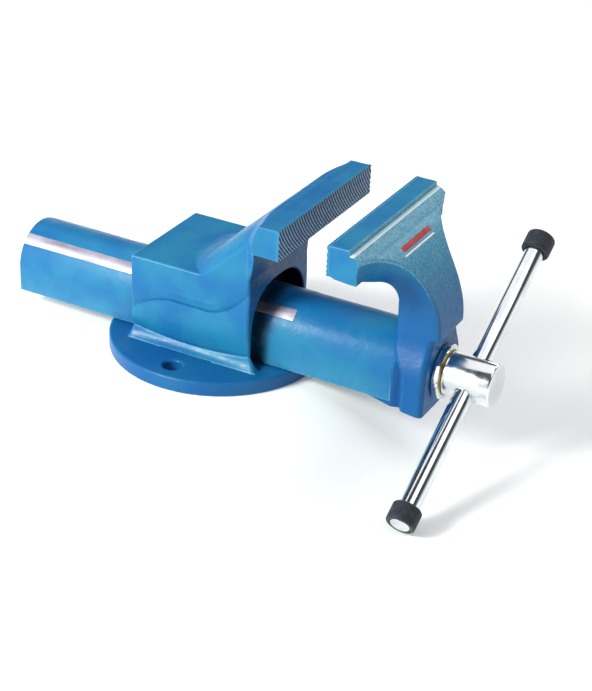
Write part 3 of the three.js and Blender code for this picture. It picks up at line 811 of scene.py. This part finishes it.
def metal(name, colour, tint, roughness, stretch=(1, 1, 1), grain=3.0, depth=0.01, wear=None):
    """Bare or plated metal: a fine grain, cloudy smears in its gloss, and two close tints."""
    finish = Finish(name, {"Metallic": 1.0})
    cloud = finish.span(finish.noise(14, 3), 0.35, 0.65)
    base = finish.mix(cloud, colour, tint)
    if wear:
        base = finish.mix(finish.edges(0.52, 0.6), base, wear)
    finish.colour(base)
    smears = finish.noise(grain * 2, 3, stretch)
    finish.rough(finish.span(smears, 0.3, 0.7, roughness * 0.75, roughness * 1.3))
    finish.bump(finish.noise(grain, 2, stretch), depth)
    return finish.material


def rubber(name):
    finish = Finish(name, {"Specular IOR Level": 0.4, "Sheen Weight": 0.1})
    finish.colour(finish.mix(finish.span(finish.noise(3, 3), 0.35, 0.7), srgb(17, 21, 33), srgb(30, 36, 50)))
    finish.rough(finish.span(finish.noise(1.5, 2), 0.3, 0.7, 0.5, 0.7))
    finish.bump(finish.noise(0.8, 3), 0.05)
    return finish.material


def nylon(name):
    finish = Finish(name, {"Specular IOR Level": 0.45, "Subsurface Weight": 0.1, "Subsurface Scale": 0.002})
    finish.colour(finish.mix(finish.noise(4, 2), srgb(226, 222, 208), srgb(205, 200, 184)))
    finish.rough(finish.span(finish.noise(2, 2), 0.3, 0.7, 0.38, 0.55))
    finish.bump(finish.noise(1.2, 2), 0.03)
    return finish.material


def serrated_steel(name):
    """Grooves with paint left in them: navy valleys, which are also painted shade, and worn, paler crests.
    """
    finish = Finish(name, {"Specular IOR Level": 0.5, "Metallic": 0.2})
    middle = (FIXED_FACE + MOVING_FACE) / 2 * MM
    reach = (MOVING_FACE - FIXED_FACE) / 2
    away = finish.math("ABSOLUTE", finish.math("SUBTRACT", finish.split(finish.place)[0], middle), 0)
    crest = finish.span(away, (reach + 0.08) * MM, (reach + 0.3) * MM, 1, 0)
    worn = finish.mix(finish.span(finish.noise(3, 3), 0.35, 0.65), srgb(92, 136, 172), srgb(132, 168, 196))
    # navy valleys: paint left in the grooves, and painted shade in them
    grooves = finish.mix(crest, srgb(8, 30, 64), worn)
    ahead = finish.math("ABSOLUTE", finish.split(finish.facing)[0], 0)
    finish.colour(finish.mix(finish.span(ahead, 0.3, 0.5), PAINT, grooves))
    finish.rough(finish.span(finish.noise(2, 3), 0.3, 0.7, 0.35, 0.55))
    finish.bump(finish.noise(1.5, 3), 0.04)
    return finish.material


base_paint = paint("base_paint", foot_painted_shade)
slide_paint = paint("slide_paint", slide_painted_shadow)
housing_paint = paint("housing_paint", housing_shade_and_oil)
panel_paint = paint("panel_paint", hammered_panel)
chrome = metal("chrome", srgb(232, 236, 238), srgb(216, 221, 225), 0.1, depth=0.004)
polished_steel = metal("polished_steel", srgb(236, 238, 240), srgb(222, 226, 229), 0.17, depth=0.004)
ground_steel = metal("ground_steel", srgb(172, 164, 180), srgb(150, 146, 162), 0.5,
                     stretch=(12, 1, 1), grain=1.2)
bare_steel = metal("bare_steel", srgb(176, 178, 182), srgb(148, 151, 158), 0.3, wear=srgb(214, 216, 220))
dark_steel = metal("dark_steel", srgb(58, 60, 66), srgb(40, 42, 48), 0.42, wear=srgb(120, 122, 128))
brass = metal("brass", srgb(150, 136, 66), srgb(118, 110, 56), 0.4, wear=srgb(196, 176, 104))
grooved = serrated_steel("grooved_steel")
black_rubber = rubber("black_rubber")
white_nylon = nylon("nylon")


# ---- Assembly ----------------------------------------------------------------------------------------

def fit(thing, body, slot, material, *nodes):
    """Gives a finished piece its material and body, and hides the CAD nodes that it stands for."""
    thing.data.materials.clear()
    thing.data.materials.append(material)
    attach(thing, body)
    if nodes:
        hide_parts(*nodes)


fit(skin("base", base_plate, plate_low, plate_high), FIXED, "blue_paint", base_paint, "base_plate")
fit(skin("fixed_jaw", fixed_jaw_body, body_low, body_high), FIXED, "blue_paint", housing_paint,
    "fixed_jaw_body")
fit(skin("sliding_jaw", moving_jaw, jaw_low - 1, jaw_high + 1), SLIDING, "panel_paint", panel_paint,
    "moving_jaw")
fit(slide_tube(), SLIDING, "blue_paint", slide_paint, "slide_tube")
fit(guide_strip("guide_left", -1), SLIDING, "bare_steel", ground_steel)
fit(guide_strip("guide_right", 1), SLIDING, "bare_steel", ground_steel)
fit(jaw_face("fixed_jaw_grooves", FIXED_FACE, 1), FIXED, "bare_steel", grooved)
fit(jaw_face("sliding_jaw_grooves", MOVING_FACE, -1), SLIDING, "bare_steel", grooved)
thread, journal = threaded_spindle()
fit(thread, TURNING, "bare_steel", bare_steel, "spindle")
fit(journal, TURNING, "bare_steel", bare_steel)
fit(spindle_head(), TURNING, "chrome", polished_steel)
fit(handle_bar(), HANDLE, "chrome", chrome, "handle_bar")
fit(grip_ring("grip_upper", "grip_ring_upper", 1), HANDLE, "black_rubber", black_rubber, "grip_ring_upper")
fit(grip_ring("grip_lower", "grip_ring_lower", -1), HANDLE, "black_rubber", black_rubber, "grip_ring_lower")

finishes = {"spindle_nut": dark_steel, "spindle_bush": brass, "thrust_ring": chrome,
            "thrust_washer": brass, "rear_thrust_washer": bare_steel, "disc_spring_rear": dark_steel,
            "disc_spring_front": dark_steel, "retaining_collar": bare_steel, "collar_pin": bare_steel,
            "friction_plug": white_nylon, "friction_screw": dark_steel}
for row in ("rear", "front"):
    for side in ("right", "left"):
        finishes[f"nut_screw_{row}_{side}"] = dark_steel
for node, material in finishes.items():
    frame["nodes"][node].data.materials.clear()
    frame["nodes"][node].data.materials.append(material)


# ---- Floor, light and camera -------------------------------------------------------------------------

def floor():
    """A pale floor. It falls away under the handle, whose lower end reaches below the base. Far from
    the vise it glows, so that its rim meets the horizon's pale band without an edge."""
    drop, reach, count = cad_bounds[0][2] / MM - 1, 6.0, 160
    slope_start, slope_length = 80, 110
    ticks = [reach * ((i - count / 2) / (count / 2)) ** 3 for i in range(count + 1)]
    points, faces = [], []
    for x in ticks:
        for y in ticks:
            fall = float(smooth((x / MM - slope_start) / slope_length))
            points.append((x / MM, y / MM, drop * fall - 0.2))
    wide = count + 1
    for i in range(count):
        for j in range(count):
            a = i * wide + j
            faces.append((a, a + 1, a + wide + 1, a + wide))
    thing = finish_mesh("floor", points, faces)
    finish = Finish("floor", {"Specular IOR Level": 0.2, "Roughness": 0.8, "Emission Color": (1, 1, 1, 1)})
    x, y = finish.split(finish.place)[:2]
    away = finish.math("ADD", finish.math("POWER", x, 2), finish.math("POWER", y, 2))
    finish.put(finish.shader.inputs["Emission Strength"], finish.span(away, 0.4, 3.0, 0.14, 1))
    finish.colour(finish.mix(finish.noise(60, 2), srgb(240, 241, 241), srgb(246, 246, 246)))
    thing.data.materials.append(finish.material)


def softbox(name, place, target, size, power, tint=(1, 1, 1)):
    light = bpy.data.lights.new(name, "AREA")
    light.shape = "RECTANGLE"
    light.size, light.size_y = size
    light.energy = power
    light.color = tint
    thing = bpy.data.objects.new(name, light)
    aim = Vector(target) - Vector(place)
    thing.matrix_world = Matrix.Translation(place) @ aim.to_track_quat("-Z", "Y").to_matrix().to_4x4()
    bpy.context.scene.collection.objects.link(thing)


def world():
    """A dim studio with a pale band round and below its horizon, which the chrome picks up."""
    studio = bpy.data.worlds.new("studio")
    studio.use_nodes = True
    bpy.context.scene.world = studio
    nodes, links = studio.node_tree.nodes, studio.node_tree.links
    direction = nodes.new("ShaderNodeTexCoord").outputs["Generated"]
    split = nodes.new("ShaderNodeSeparateXYZ")
    links.new(direction, split.inputs["Vector"])
    ramp = nodes.new("ShaderNodeValToRGB")
    links.new(split.outputs["Z"], ramp.inputs["Fac"])
    steps = ramp.color_ramp.elements
    steps[0].position, steps[0].color = 0.12, (0.85, 0.87, 0.88, 1)
    steps[1].position, steps[1].color = 0.34, (0.07, 0.075, 0.085, 1)
    links.new(ramp.outputs["Color"], nodes["Background"].inputs["Color"])
    nodes["Background"].inputs["Strength"].default_value = 1.0


def camera():
    """The camera that was fitted to the photograph."""
    turn, tilt, roll = (math.radians(a) for a in (27.479, 28.795, 2.483))
    forward = Vector((-math.sin(turn) * math.cos(tilt), math.cos(turn) * math.cos(tilt), -math.sin(tilt)))
    level = Vector((math.cos(turn), math.sin(turn), 0))
    upright = level.cross(forward)
    right = level * math.cos(roll) + upright * math.sin(roll)
    up = upright * math.cos(roll) - level * math.sin(roll)
    thing = bpy.data.objects.new("camera", bpy.data.cameras.new("camera"))
    thing.data.lens = 93.23
    turned = Matrix((right, up, -forward)).transposed().to_4x4()
    thing.matrix_world = Matrix.Translation((0.54189, -0.92648, 0.58899)) @ turned
    bpy.context.scene.collection.objects.link(thing)
    bpy.context.scene.camera = thing


floor()
softbox("key", (-0.69, -1.22, 0.95), (0.05, 0, 0.05), (0.5, 0.5), 37, (0.95, 1, 0.93))
softbox("front", (-0.95, -1.62, 0.85), (0.05, 0, 0.05), (1.5, 1.5), 13)
softbox("top", (-0.4, 0.4, 1.35), (-0.2, 0, 0), (1.6, 1.4), 8)
softbox("over", (0.78, 0.0, 1.2), (0.19, 0, 0.03), (0.9, 0.9), 4)
softbox("back", (0.48, 1.55, 1.2), (0.05, 0, 0.05), (0.8, 0.8), 9)
world()
camera()
bpy.context.scene.view_settings.view_transform = "Standard"
